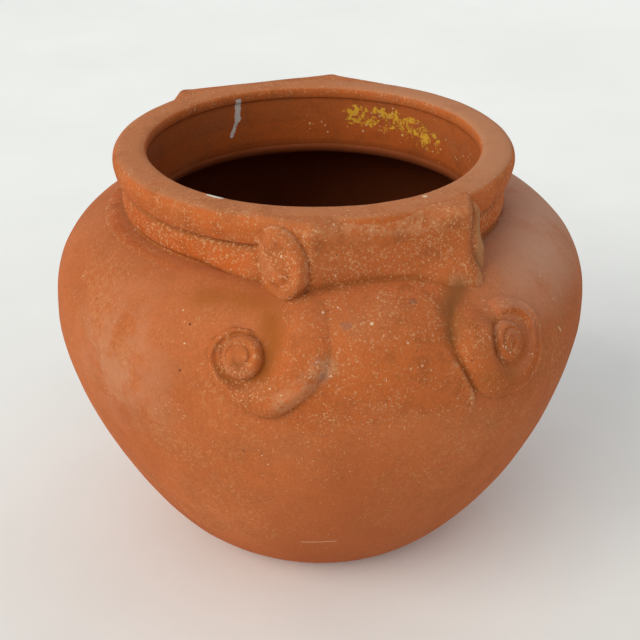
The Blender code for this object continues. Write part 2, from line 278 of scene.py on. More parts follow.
def specks(clay, per_metre, size, amount):
    """Uneven spots of about this share of their spacing, so many of them showing as amount says."""
    place = object_place(clay)
    wander = add(clay, "TexNoise", {"Vector": place, "Scale": per_metre * 1.9, "Detail": 2.0}).outputs["Color"]
    place = vector(clay, "ADD", place, vector(clay, "SCALE", wander, 0.75 / per_metre))
    cells = add(clay, "TexVoronoi", {"Vector": place, "Scale": per_metre})
    chance = add(clay, "SeparateColor", {0: cells.outputs["Color"]})
    showing = calc(clay, "LESS_THAN", chance.outputs[0], amount)
    reach = both(clay, chance.outputs[1], chance.outputs[1], size * 1.3)
    reach = calc(clay, "ADD", reach, size * 0.5)
    inside = calc(clay, "LESS_THAN", cells.outputs["Distance"], reach)
    return both(clay, showing, inside)


def terracotta(name, tone, flecks, dust, crusted=(0.0, 0.0)):
    """Low-fired red clay that has stood outdoors: clouded by the fire, flecked with lime, with dirt and painted
    shade in its hollows and painted shade inside the pot.

    Between the two heights of crusted, the lime sits more thickly.
    """
    def toned(red, green, blue):
        return tint(tone[0] * red, tone[1] * green, tone[2] * blue)

    clay = bpy.data.materials.new(name)
    clay.use_nodes = True
    shader = clay.node_tree.nodes["Principled BSDF"]
    shader.inputs["Specular IOR Level"].default_value = 0.22

    cloud = patchy(clay, 7.0, 3.0, 0.5, 0.34, 0.66)
    colour = mixed(clay, cloud, toned(0.90, 0.86, 0.80), toned(1.05, 1.05, 1.08))
    mottle = clouds(clay, 34.0, 5.0, 0.62)
    share = both(clay, ramp(clay, mottle, 0.46, 0.70), 0.42)
    colour = mixed(clay, share, colour, toned(0.76, 0.80, 0.82))
    share = both(clay, ramp(clay, mottle, 0.50, 0.28), 0.35)
    colour = mixed(clay, share, colour, toned(1.10, 1.00, 0.80))
    grain = clouds(clay, 640.0, 2.0)
    shade = scaled(clay, grain, 0.25, 0.75, 0.86, 1.13)
    plug(clay, shader.inputs["Base Color"], mixed(clay, 1.0, colour, shade, "MULTIPLY"))

    hollow, worn, inside = (attribute(clay, name) for name in ("hollow", "worn", "inside"))
    patches = clouds(clay, 17.0, 4.0, 0.6)

    lay_over(clay, tint(0.56, 0.240, 0.105), both(clay, ramp(clay, patches, 0.48, 0.72), 0.30 * flecks))
    # Dirt and painted shade in the hollows, by how deeply each point lies among the clay
    dirt_and_shade = calc(clay, "ADD", hollow, both(clay, calc(clay, "SUBTRACT", mottle, 0.5), 0.25))
    lay_over(clay, tint(0.34, 0.094, 0.014), both(clay, ramp(clay, dirt_and_shade, 0.07, 0.46), 0.82))
    rubbed = both(clay, worn, patchy(clay, 150.0, 3.0, 0.6, 0.38, 0.62), 0.5)
    lay_over(clay, tint(0.62, 0.30, 0.145), rubbed)

    settled = both(clay, ramp(clay, facing_up(clay), 0.55, 0.97), dust)
    settled = both(clay, settled, patchy(clay, 60.0, 4.0, 0.65, 0.12, 0.52))
    lay_over(clay, tint(0.515, 0.180, 0.066), settled)

    stain = both(clay, patchy(clay, 48.0, 5.0, 0.68, 0.50, 0.66), 0.55 * flecks)
    lay_over(clay, toned(0.62, 0.66, 0.70), stain)
    crowd = total(clay, ramp(clay, patches, 0.30, 0.60), both(clay, worn, 0.6))
    crowd = total(clay, crowd, 0.3 * flecks, both(clay, hollow, 0.4))
    if crusted[1] > 0:
        level = along_axis(clay, 2)
        low, high = crusted
        band = ramp(clay, level, low - 0.004, low + 0.004)
        band = both(clay, band, ramp(clay, level, high + 0.004, high - 0.004))
        crowd = total(clay, crowd, band)
    crowd = both(clay, crowd, scaled(clay, clouds(clay, 75.0, 4.0, 0.7), 0.36, 0.66, 0.15, 1.75))
    crowd = both(clay, crowd, ramp(clay, inside, 0.2, 0.0))
    frost = patchy(clay, 400.0, 3.0, 0.75, 0.53, 0.66)
    lay_over(clay, tint(0.63, 0.28, 0.115), both(clay, frost, crowd, 0.85 * flecks))
    fine_lime = specks(clay, 520.0, 0.24, both(clay, crowd, 0.42 * flecks))
    lime = specks(clay, 270.0, 0.13, both(clay, crowd, 0.24 * flecks * flecks))
    lay_over(clay, tint(0.68, 0.35, 0.175), both(clay, fine_lime, 0.60))
    lay_over(clay, tint(0.76, 0.50, 0.29), both(clay, lime, 0.85))
    pits = specks(clay, 170.0, 0.10, 0.10)
    lay_over(clay, tint(0.16, 0.060, 0.025), both(clay, pits, 0.6))
    # Painted shade on the inside of the pot, deeper on the left of the neck's inner side
    lay_over(clay, tint(0.12, 0.020, 0.001), inside)

    plug(clay, shader.inputs["Roughness"], scaled(clay, mottle, 0.3, 0.7, 0.74, 0.93))
    height = total(clay, both(clay, grain, 0.30), both(clay, clouds(clay, 210.0, 4.0, 0.6), 0.55))
    height = total(clay, height, both(clay, frost, 0.22 * flecks), both(clay, lime, 0.35))
    height = calc(clay, "SUBTRACT", height, both(clay, pits, 0.8))
    bump = add(clay, "Bump", {"Height": height, "Strength": 0.55, "Distance": 0.0011})
    plug(clay, shader.inputs["Normal"], bump.outputs[0])
    return clay


def shaded_valleys(clay):
    """Dirt and painted shade in the hollows beside the front scrolls and under the neck on the left, and a painted
    shadow below the bracket's right end.
    """
    share = near_lines(
        clay, 1.0,
        ((-0.0880, -0.1676, 0.2794), (-0.0895, -0.1830, 0.2663), 0.016),
        ((-0.0895, -0.1830, 0.2663), (-0.0987, -0.1894, 0.2498), 0.014),
        ((0.0560, -0.2110, 0.2350), (0.0800, -0.2045, 0.2260), 0.016))
    # Painted shadow of the neck on the shoulder, on the left
    below_neck = near_line(clay, (-0.1280, -0.1290, 0.2860), (-0.0880, -0.1560, 0.2860), 0.018, 1.0)
    share = calc(clay, "MAXIMUM", share, both(clay, below_neck, 0.75))
    share = both(clay, share, patchy(clay, 40.0, 4.0, 0.6, 0.20, 0.55))
    lay_over(clay, tint(0.37, 0.100, 0.012), both(clay, share, 0.88))
    # Darker painted shadow below the bracket's right end
    share = near_lines(
        clay, 1.0,
        ((0.0520, -0.1720, 0.2850), (0.0387, -0.1889, 0.2770), 0.014),
        ((0.0387, -0.1889, 0.2770), (0.0354, -0.2023, 0.2643), 0.014))
    lay_over(clay, tint(0.22, 0.078, 0.017), both(clay, share, 0.78))


def right_dust_and_cool_light(clay):
    """Lime dust with a paler, pinker painted tone for the cooler light on the shaded right of the shoulder, and
    scrapes down it.
    """
    across, out, height = (along_axis(clay, axis) for axis in range(3))
    # Paler, pinker painted tone standing in for the cooler light on the right side, mixed with lime dust
    right_side = both(clay, ramp(clay, across, 0.045, 0.150), ramp(clay, facing_up(clay), 0.12, 0.92))
    right_side = both(clay, right_side, outside(clay))
    lay_over(clay, tint(0.57, 0.320, 0.210), both(clay, right_side, patchy(clay, 26.0, 5.0, 0.65, 0.08, 0.55), 0.82))
    turn = calc(clay, "ARCTAN2", across, out)
    place = add(clay, "CombineXYZ", {0: both(clay, turn, 0.20), 1: both(clay, height, 0.07)}).outputs[0]
    scrape = ramp(clay, clouds(clay, 520.0, 3.0, 0.6, place), 0.58, 0.66)
    lay_over(clay, tint(0.64, 0.38, 0.25), both(clay, scrape, right_side, 0.20))


body_clay = terracotta("body clay", (0.510, 0.137, 0.036), 0.34, 0.25)
shaded_valleys(body_clay)
right_dust_and_cool_light(body_clay)
# Damp that rose from the floor, a pale bloom on the left, and scuffing all over the outside
damp = both(body_clay, near(body_clay, (-0.010, -0.165, 0.060), 0.150, 0.9), outside(body_clay))
lay_over(body_clay, tint(0.38, 0.098, 0.026), both(body_clay, damp, 0.40))
bloom = near(body_clay, (-0.185, -0.105, 0.225), 0.080, 0.9)
bloom = both(body_clay, bloom, patchy(body_clay, 30.0, 5.0, 0.65, 0.35, 0.60), outside(body_clay))
lay_over(body_clay, tint(0.56, 0.265, 0.140), both(body_clay, bloom, 0.55))
scuffed = patchy(body_clay, 11.0, 5.0, 0.68, 0.49, 0.64)
scuffed = both(body_clay, scuffed, patchy(body_clay, 300.0, 4.0, 0.75, 0.49, 0.62), outside(body_clay))
lay_over(body_clay, tint(0.60, 0.275, 0.100), both(body_clay, scuffed, 0.42))
# Knocks and scratches
for start, end in (
    ((-0.064, -0.158, 0.0690), (-0.038, -0.1665, 0.0712)),
    ((0.139, -0.168, 0.236), (0.143, -0.166, 0.231)),
):
    share = ragged(body_clay, near_line(body_clay, start, end, 0.0012), 400.0, 0.45)
    lay_over(body_clay, tint(0.66, 0.40, 0.25), both(body_clay, share, 0.8))
knocks = [((-0.1514, -0.1552, 0.2410), 0.0011), ((-0.1402, -0.1433, 0.2702), 0.0012)]
dot_over(body_clay, tint(0.05, 0.012, 0.006), 0.85, knocks)

outer = [(wall_radius(h), h) for h in (WIDEST_AT * (i / 44) ** 1.5 for i in range(45))]
rise = SHOULDER_TOP - WIDEST_AT
outer += [(wall_radius(h), h) for h in (WIDEST_AT + rise * (1 - (1 - i / 40) ** 1.6) for i in range(1, 41))]
top = [(0.163, 0.2915), (0.152, 0.2925), (0.140, 0.2905), (MOUTH + 0.001, 0.2885)]
lip = [(MOUTH + 0.0002, 0.2855), (MOUTH + 0.0010, 0.2820), (MOUTH + 0.0040, 0.2795), (0.143, 0.2785)]
inner_heights = [0.2775 - (0.2775 - 0.030) * (i / 40) ** 1.15 for i in range(1, 41)]
inner = []
for height in inner_heights:
    radius = wall_radius(height + 0.010 * max(0, (height - 0.22) / 0.06)) - WALL
    inner.append((min(radius, 0.205), height))
inner += [(wall_radius(0.022) - WALL - 0.002, 0.021), (wall_radius(0.014) - WALL - 0.009, 0.0155)]
under = [(0.1045, 0.006), (0.1035, 0.0012), (0.1043, 0.0003)]
pot = turned(outer + top + lip + inner + under, 320)
for vert in pot.verts:
    if math.hypot(vert.co.x, vert.co.y) < 0.147 and vert.co.z > 0.276:
        vert.co += RIM_AXIS
set_piece("pot_wall", pot, body_clay, "body_clay", "bowl_wall", "shoulder_wall")


# Base. A round slab of the same clay pressed into the foot of the wall, with one drain hole
# punched through it while it was soft, so its edges are rounded over.
DRAIN = 0.013
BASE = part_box("base_slab")[1].z
base_clay = terracotta("base clay", (0.430, 0.120, 0.036), 0.15, 0.55)
slab = [(DRAIN, 0.003), (DRAIN + 0.0008, 0.0009), (DRAIN + 0.003, 0.0)]
slab += [(0.1000, 0.0), (0.1025, 0.0007), (0.1035, 0.0025), (0.1070, BASE - 0.004), (0.1050, BASE)]
slab += [(0.060, BASE - 0.0002), (DRAIN + 0.004, BASE), (DRAIN + 0.001, BASE - 0.001), (DRAIN, BASE - 0.004)]
set_piece("base_slab_clay", turned(slab, 96), base_clay, "base_clay", "base_slab")


# Neck. A thick strap of clay wrapped round the opening, its outer face a little full and its lower
# edge left as a ridge, from which it is dragged down onto the shoulder in a hollow sweep. Neck and
# rim stand a little off the pot's axis.
def white_drip(clay):
    """A run of lime wash down the inside."""
    share = near_lines(
        clay, 0.65,
        ((-0.0357, 0.1330, 0.3350), (-0.0363, 0.1328, 0.3180), 0.0042),
        ((-0.0363, 0.1328, 0.3180), (-0.0425, 0.1310, 0.3040), 0.0030))
    lay_over(clay, tint(0.70, 0.66, 0.60), both(clay, ragged(clay, share, 420.0, 0.46), 0.9))


def lichen(clay):
    """Yellow lichen on the sunny inner side, with lime round it."""
    patch = near_lines(
        clay, 0.95,
        ((0.0680, 0.1150, 0.3180), (0.1200, 0.0540, 0.3085), 0.0215),
        ((0.0850, 0.1050, 0.3230), (0.1120, 0.0740, 0.3200), 0.0110))
    lay_over(clay, tint(0.64, 0.44, 0.24), both(clay, specks(clay, 330.0, 0.24, both(clay, patch, 0.40)), 0.8))
    growth = both(clay, ragged(clay, patch, 250.0, 0.570), patchy(clay, 120.0, 4.0, 0.7, 0.44, 0.52))
    lay_over(clay, tint(0.72, 0.40, 0.030), both(clay, growth, 0.92))
    for spot in ((0.1296, -0.0072, 0.308), (0.0351, 0.1304, 0.307), (0.128, 0.016, 0.310)):
        share = both(clay, near(clay, spot, 0.018, 0.9), 0.40)
        lay_over(clay, tint(0.66, 0.44, 0.24), both(clay, specks(clay, 380.0, 0.24, share), 0.8))


neck_clay = terracotta("neck clay", (0.515, 0.113, 0.016), 0.90, 0.30, (0.299, 0.312))
white_drip(neck_clay)
lichen(neck_clay)
neck_face = drawn_through(
    [(0.1440, 0.3172), (0.1500, 0.3168), (0.1534, 0.3142), (0.1548, 0.3092), (0.1551, 0.3040), (0.1550, 0.3000),
     (0.1544, 0.2972), (0.1528, 0.2950), (0.1518, 0.2934), (0.1534, 0.2921), (0.1587, 0.2913), (0.1640, 0.2903),
     (0.1700, 0.2878)], 5)
neck_back = [(0.166, 0.2850), (0.150, 0.2840), (0.1375, 0.2840), (MOUTH + 0.0016, 0.2862)]
neck_inside = drawn_through([(MOUTH + 0.0014, 0.2885), (MOUTH + 0.0016, 0.3020), (MOUTH + 0.0024, 0.3165)], 8)
neck = turned([*neck_face, *neck_back, *neck_inside], 240)
for vert in neck.verts:
    # Towards the front left volute the strap grows deeper and fuller
    turn = math.degrees(math.atan2(vert.co.x, -vert.co.y))
    fuller = eased(0.0, 1.0, (turn + 52) / 24) * eased(1.0, 0.0, (turn + 20) / 10)
    radius = math.hypot(vert.co.x, vert.co.y)
    fuller *= eased(0.0, 1.0, (0.316 - vert.co.z) / 0.018) * eased(0.0, 1.0, (radius - 0.146) / 0.006)
    vert.co.z -= 0.0075 * fuller
    vert.co.xy *= 1 + 0.0050 * fuller / radius
bmesh.ops.translate(neck, verts=neck.verts, vec=RIM_AXIS)
set_piece("neck_strap", neck, neck_clay, "neck_clay", "neck_collar")


# Rim. A heavy flat-topped roll of clay set on the neck, its outer face drawn in below to a narrow
# groove. Inside, its lip overhangs the neck's wall by about a millimetre.
RIM_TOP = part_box("rim_ring")[1].z
rim_clay = terracotta("rim clay", (0.530, 0.130, 0.025), 0.80, 1.0)
white_drip(rim_clay)
lichen(rim_clay)
# Dust on the right of the flat top, a pale chip in its inner edge and one grain of lime
LIME_GRAIN = tint(0.80, 0.66, 0.42)
right_side = ramp(rim_clay, along_axis(rim_clay, 0), 0.03, 0.12)
right_side = both(rim_clay, right_side, ramp(rim_clay, facing_up(rim_clay), 0.6, 0.95))
lay_over(rim_clay, tint(0.52, 0.245, 0.125), both(rim_clay, right_side, 0.6))
chip = near_line(rim_clay, (-0.1099, -0.0874, 0.3428), (-0.1039, -0.0940, 0.3428), 0.0034)
lay_over(rim_clay, tint(0.82, 0.76, 0.66), both(rim_clay, ragged(rim_clay, chip, 260.0, 0.36), 0.95))
dot_over(rim_clay, LIME_GRAIN, 0.9, [((0.0381, -0.1345, 0.3428), 0.0026)])
rim_face = drawn_through(
    [(MOUTH + 0.0040, RIM_TOP - 0.0006), (0.1410, RIM_TOP - 0.0001), (0.1500, RIM_TOP), (0.1550, RIM_TOP - 0.0004),
     (0.1583, RIM_TOP - 0.0016), (0.1604, RIM_TOP - 0.0044), (0.1612, RIM_TOP - 0.0084), (0.1607, RIM_TOP - 0.0126),
     (0.1597, RIM_TOP - 0.0170), (0.1582, RIM_TOP - 0.0212), (0.1558, RIM_TOP - 0.0246), (0.1510, RIM_TOP - 0.0264),
     (0.1420, RIM_TOP - 0.0266)], 5)
rim_inside = drawn_through(
    [(0.1390, RIM_TOP - 0.0400), (MOUTH + 0.0032, RIM_TOP - 0.0410), (MOUTH + 0.0019, RIM_TOP - 0.0300),
     (MOUTH + 0.0015, RIM_TOP - 0.0200), (MOUTH + 0.0014, RIM_TOP - 0.0115), (MOUTH + 0.0002, RIM_TOP - 0.0092),
     (MOUTH + 0.0001, RIM_TOP - 0.0045), (MOUTH + 0.0013, RIM_TOP - 0.0018), (MOUTH + 0.0040, RIM_TOP - 0.0006)], 4)
rim = turned([*rim_face, *rim_inside[:-1]], 240)
bmesh.ops.translate(rim, verts=rim.verts, vec=RIM_AXIS)
set_piece("rim_roll", rim, rim_clay, "rim_clay", "rim_ring")


# Brackets. Front and rear, the rim is built out in a block of clay with splayed flanks: flat on top
# and level with the rim, rounded over to an upright face, and drawn in a little at its lower edge,
# where it meets the apron. Each block's right flank runs back more steeply than its left one.
BRACKETS = {
    "front": {"turn": 0.0, "face": 0.164, "left": 0.052, "right": 0.0695, "steep": 20.0},
    "rear": {"turn": 183.0, "face": 0.162, "left": 0.077, "right": 0.0700, "steep": 26.0},
}
HANDS = {"left": -1, "right": 1}
RIM_RADIUS = 0.1615
CORNERS = {"left": 0.011, "right": 0.007}
REAR_OVER = 0.0065
# Where the brackets' backs lie, inside the rim and the neck
BACK_TOP, BACK_MIDDLE, BACK_FOOT = 0.1400, 0.1415, 0.1435
# The lower edge across a bracket: its height, and how far it is drawn in
LOWER_EDGE = ([-0.052, 0.003, 0.028, 0.050, 0.070], [0.2830, 0.2905, 0.2895, 0.2810, 0.2790])
DRAWN_IN = ([-0.052, 0.0, 0.030, 0.052, 0.070], [0.0025, 0.0006, -0.0020, -0.0105, -0.0125])
bracket_clay = terracotta("bracket clay", (0.505, 0.136, 0.033), 1.0, 0.45, (0.298, 0.322))
shaded_valleys(bracket_clay)
# Dust on the right volute's edge, a chip in the top, a smear and single grains of lime
strip = near(bracket_clay, (0.0731, -0.156, 0.312), 0.034, 0.7)
strip = both(bracket_clay, strip, ramp(bracket_clay, along_axis(bracket_clay, 0), 0.0690, 0.0725))
lay_over(bracket_clay, tint(0.40, 0.205, 0.090), both(bracket_clay, strip, 0.75))
dot_over(bracket_clay, tint(0.17, 0.065, 0.025), 0.7, [((0.0360, -0.1600, 0.3402), 0.0026)])
smear = near_line(bracket_clay, (-0.0640, -0.1690, 0.3150), (-0.0650, -0.1690, 0.3040), 0.0050, 0.9)
lay_over(bracket_clay, tint(0.52, 0.36, 0.26), both(bracket_clay, ragged(bracket_clay, smear, 300.0), 0.45))
dot_over(bracket_clay, LIME_GRAIN, 0.9, [
    ((0.0582, -0.1640, 0.2965), 0.0021), ((0.0476, -0.1660, 0.2909), 0.0014),
    ((-0.0544, -0.1660, 0.3042), 0.0014), ((-0.0477, -0.1660, 0.3003), 0.0019)])


def arc(centre, radius, first, last, steps):
    angles = [math.radians(first + (last - first) * i / steps) for i in range(steps + 1)]
    return [(centre[0] + radius * math.cos(a), centre[1] + radius * math.sin(a)) for a in angles]


def flank_angle(end, hand):
    """Splay of the flank: the left ones run back from the corner until they just bite into the rim."""
    if hand == "right":
        return math.radians(BRACKETS[end]["steep"])
    half, face = BRACKETS[end][hand], BRACKETS[end]["face"]
    return math.asin(RIM_RADIUS / math.hypot(half, face)) - math.atan(half / face) - math.radians(3)


def flank_length(end, hand):
    """From the corner back to where the flank runs into the rim."""
    half, face = BRACKETS[end][hand], BRACKETS[end]["face"]
    corner = math.hypot(half, face)
    to_axis = flank_angle(end, hand) + math.atan(half / face)
    return corner * math.cos(to_axis) - math.sqrt(RIM_RADIUS**2 - (corner * math.sin(to_axis)) ** 2)


def bracket_side(end, hand):
    """The bracket's edge from its middle to a flank's end.

    Each row gives the point (across, out), the normal, the way down the flank and the round-over.
    """
    half, face = BRACKETS[end][hand], BRACKETS[end]["face"]
    angle = flank_angle(end, hand)
    along = Vector((math.sin(angle), -math.cos(angle)))
    out = Vector((math.cos(angle), math.sin(angle)))
    corner = Vector((half, face))
    radius = CORNERS[hand]
    bend = radius * math.tan((math.pi / 2 - angle) / 2)
    centre = corner + Vector((-bend, -radius))
    line = []
    for i in range(22):
        across = (half - bend) * i / 22
        over = eased(radius * 0.7, 0.0150, (half - bend - across) / 0.024)
        line.append((Vector((across, face)), Vector((0, 1)), 0.0, over))
    for i in range(11):
        turn = math.pi / 2 - (math.pi / 2 - angle) * i / 10
        normal = Vector((math.cos(turn), math.sin(turn)))
        line.append((centre + normal * radius, normal, bend * i / 10, radius * 0.7))
    if end == "rear":
        line = [(point, normal, step, min(over, REAR_OVER)) for point, normal, step, over in line]
    reach = flank_length(end, hand) + 0.008
    for i in range(1, 17):
        step = bend + (reach - bend) * i / 16
        line.append((corner + along * step, out, step, eased(radius * 0.7, 0.0050, i / 10)))
    return line


def drawn_along(rings):
    """Draws a closed section through a row of rings, one extrusion for each, and caps both ends."""
    clay = bmesh.new()
    place = clay.verts.layers.int.new("place")
    line = [clay.verts.new(point) for point in rings[0]]
    for i, vert in enumerate(line):
        vert[place] = i
    edges = [clay.edges.new((line[i - 1], line[i])) for i in range(len(line))]
    for ring in rings[1:]:
        grown = bmesh.ops.extrude_edge_only(clay, edges=edges)["geom"]
        for part in grown:
            if isinstance(part, bmesh.types.BMVert):
                part.co = ring[part[place]]
        edges = [part for part in grown if isinstance(part, bmesh.types.BMEdge) and part.is_boundary]
    bmesh.ops.holes_fill(clay, edges=clay.edges, sides=0)
    bmesh.ops.recalc_face_normals(clay, faces=clay.faces)
    return clay


def pot_place(end):
    """From a bracket's own place to its place on the pot."""
    return Matrix.Translation(RIM_AXIS) @ Matrix.Rotation(math.radians(BRACKETS[end]["turn"]), 4, "Z")


for end in BRACKETS:
    left, right = bracket_side(end, "left"), bracket_side(end, "right")
    left = [(Vector((-p.x, p.y)), Vector((-n.x, n.y)), step, over) for p, n, step, over in left]
    rings = []
    for i, (point, normal, step, over) in enumerate(left[:0:-1] + right):
        last = left[-1][2] if i < len(left) - 1 else right[-1][2]
        gone = eased(0.0, 1.0, (step - last * 0.40) / (last * 0.58))
        low = numpy.interp(point.x, *LOWER_EDGE)
        drawn_in = numpy.interp(point.x, *DRAWN_IN)
        low += (RIM_TOP - 0.0200 - low) * gone
        drawn_in += 0.0040 * gone
        high = RIM_TOP - 0.0003 - over
        section = arc((-over, high), over, 90, 0, 9)
        for k in range(1, 15):
            height = high + (low - high) * k / 14
            share = (0.316 - height) / (0.316 - min(low, 0.300))
            section.append((-drawn_in * eased(0, 1, share) ** 1.4, height))
        for under, down in ((0.0014, 0.0014), (0.0045, 0.0026), (0.0100, 0.0030)):
            section.append((-drawn_in - under, low - down))
        polar = point.normalized()
        back = polar * BACK_TOP
        first = point + normal * section[0][0]
        ring = []
        for k in range(7):
            spot = back.lerp(first, k / 7)
            ring.append(Vector((spot.x, spot.y, RIM_TOP - eased(0.0013, 0.0003, (spot.length - BACK_TOP) / 0.009))))
        for out, height in section:
            spot = point + normal * out
            if spot.length < BACK_MIDDLE:
                spot = spot.normalized() * BACK_MIDDLE
            ring.append(Vector((spot.x, spot.y, height)))
        ring.append(Vector((polar.x * BACK_FOOT, polar.y * BACK_FOOT, low + 0.001)))
        rings.append([Vector((p.x, -p.y, p.z)) for p in ring])
    bracket = drawn_along(rings)
    bmesh.ops.transform(bracket, matrix=pot_place(end), verts=bracket.verts)
    set_piece(f"{end}_bracket_block", bracket, bracket_clay, "bracket_clay", f"{end}_bracket")


# Volutes. A strip of clay rolled up, squeezed upright and pressed onto each flank of a bracket, so
# that the ends of rim and neck seem to curl into a scroll: a worn ring, a hollow and an eye.
VOLUTE = 0.031
VOLUTE_SQUEEZE = {"left": 0.76, "right": 0.46}
VOLUTE_AT = 0.307
VOLUTE_ALONG = {"left": 0.0246, "right": 0.0205}
VOLUTE_RISE = {"front": 0.0112, "rear": 0.0078}
VOLUTE_KICK = 0.0085
ON_AXIS = 0.00001


def volute_lift(end, hand, ahead, up):
    """How far the roll stands off the flank; ahead runs from -1 at its back to 1 at its front."""
    reach = math.hypot(ahead, up)
    swing = math.atan2(ahead, up) / math.tau % 1.0
    ring = math.exp(-(((reach - 0.86 + 0.10 * swing) / 0.16) ** 2))
    hollow = math.exp(-(((reach - 0.52 + 0.12 * swing) / 0.16) ** 2))
    eye = math.exp(-((reach / 0.26) ** 2))
    pit = math.exp(-(((ahead - 0.02) / 0.17) ** 2 + ((up + 0.40) / 0.13) ** 2))
    lift = 0.82 + 0.11 * ring - 0.17 * hollow + 0.06 * eye - 0.16 * pit
    edge = math.sqrt(max(1 - (max(reach - 0.70, 0.0) / 0.32) ** 2, 0.0))
    lift *= edge + (1 - edge) * eased(0.9, 0.0, (ahead + 0.9) / 0.7)
    lift *= eased(0.02, 1.0, (ahead + 1.05) / 1.35) * eased(1.10, 0.74, (up + 0.8) / 1.5)
    if (end, hand) == ("front", "right"):
        bulge = 0.20 * math.exp(-(((up + 0.06) / 0.14) ** 2))
        dip = 0.16 * math.exp(-(((up - 0.60) / 0.18) ** 2))
        lift *= 1.0 + bulge - dip
        lift *= 1.0 + 0.05 * math.sin(13 * up)
    return VOLUTE_RISE[end] * lift - eased(0.0070, 0.0, (ahead + 1.05) / 0.85)


for end in BRACKETS:
    for hand, sign in HANDS.items():
        outline = [(ON_AXIS, -0.014), (VOLUTE * 1.03, -0.014), (VOLUTE * 1.03, -0.012)]
        outline += [(VOLUTE * (1.02 - 1.02 * (i / 34) ** 1.25), 0.001) for i in range(34)] + [(ON_AXIS, 0.001)]
        volute = turned(outline, 96)
        for vert in volute.verts:
            if vert.co.z > 0:
                vert.co.z = volute_lift(end, hand, -sign * vert.co.x / VOLUTE, vert.co.y / VOLUTE)
            vert.co.x *= VOLUTE_SQUEEZE[hand]
            if hand == "right":
                vert.co.x -= VOLUTE_KICK * eased(0.0, 1.0, -(vert.co.y / VOLUTE + 0.25) / 0.6)
        angle = flank_angle(end, hand)
        along = Vector((sign * math.sin(angle), math.cos(angle), 0))
        across = sign * along
        up = Vector((0, 0, 1))
        upright = Matrix((across, up, across.cross(up))).transposed().to_4x4()
        corner = Vector((sign * BRACKETS[end][hand], -BRACKETS[end]["face"], VOLUTE_AT))
        upright.translation = corner + along * VOLUTE_ALONG[hand]
        bmesh.ops.transform(volute, matrix=pot_place(end) @ upright, verts=volute.verts)
        set_piece(f"{end}_{hand}_volute_roll", volute, bracket_clay, "bracket_clay", f"{end}_{hand}_volute")


# Scrollwork. Below each bracket a sheet of clay, the apron, lies over the shoulder, and on either side
# of it a ribbon of clay winds up round an eye: the left one beaded, the right one with a fuller ring.
# All of it was thumbed onto the wall while wet, so the edges run softly into each other.
SCROLL_TURN = -4.5
EYES = {"left": (-26.8, 0.257), "right": (26.8, 0.251)}
APRON_AT = 0.250
BURIED = -0.0016
BLEND = 0.0028
SUNK = 0.005
RIBBON_START, RIBBON_END = -24, 350
# Up the wall from the apron's middle: its reach to the left and to the right, and how thick it is there
APRON = [(-0.046, 0.070, 0.068, -0.0012), (-0.038, 0.072, 0.070, -0.0006), (-0.030, 0.073, 0.070, 0.0008),
         (-0.022, 0.068, 0.067, 0.0026), (-0.011, 0.059, 0.0605, 0.0048), (0.000, 0.053, 0.0550, 0.0066),
         (0.010, 0.052, 0.0530, 0.0074), (0.022, 0.052, 0.0530, 0.0072), (0.035, 0.051, 0.0560, 0.0058),
         (0.048, 0.050, 0.0610, 0.0034), (0.066, 0.050, 0.0660, 0.0008)]
# Turn round the eye in degrees: the ribbon's inner and outer edge, its height, softness of either edge
RIBBONS = {
    "left": [(-24, 0.0165, 0.0200, 0.0012, 0.002, 0.003), (10, 0.0174, 0.0212, 0.0032, 0.002, 0.003),
             (45, 0.0200, 0.0256, 0.0042, 0.003, 0.004), (90, 0.0226, 0.0288, 0.0048, 0.004, 0.005),
             (125, 0.0212, 0.0292, 0.0050, 0.005, 0.007), (158, 0.0204, 0.0306, 0.0056, 0.006, 0.009),
             (187, 0.0206, 0.0374, 0.0068, 0.008, 0.009), (209, 0.0212, 0.0442, 0.0078, 0.010, 0.010),
             (231, 0.0226, 0.0472, 0.0086, 0.012, 0.010), (254, 0.0252, 0.0538, 0.0094, 0.016, 0.011),
             (275, 0.0285, 0.0620, 0.0094, 0.020, 0.016), (300, 0.0320, 0.0660, 0.0082, 0.026, 0.026),
             (325, 0.0350, 0.0660, 0.0054, 0.030, 0.028), (350, 0.0360, 0.0620, 0.0020, 0.030, 0.028)],
    "right": [(-24, 0.0160, 0.0280, 0.0010, 0.003, 0.014), (10, 0.0186, 0.0318, 0.0036, 0.004, 0.012),
              (40, 0.0212, 0.0336, 0.0050, 0.005, 0.009), (65, 0.0228, 0.0338, 0.0056, 0.005, 0.006),
              (90, 0.0224, 0.0338, 0.0058, 0.005, 0.005), (112, 0.0222, 0.0345, 0.0058, 0.006, 0.005),
              (140, 0.0242, 0.0388, 0.0060, 0.009, 0.005), (160, 0.0244, 0.0402, 0.0062, 0.012, 0.006),
              (180, 0.0236, 0.0416, 0.0064, 0.013, 0.010), (210, 0.0206, 0.0425, 0.0072, 0.011, 0.014),
              (244, 0.0190, 0.0440, 0.0084, 0.011, 0.018), (278, 0.0182, 0.0480, 0.0092, 0.011, 0.022),
              (302, 0.0182, 0.0480, 0.0086, 0.011, 0.022), (330, 0.0176, 0.0440, 0.0056, 0.009, 0.024),
              (350, 0.0170, 0.0400, 0.0016, 0.006, 0.024)],
}
scroll_clay = terracotta("scroll clay", (0.500, 0.125, 0.027), 0.90, 0.20)
shaded_valleys(scroll_clay)
right_dust_and_cool_light(scroll_clay)
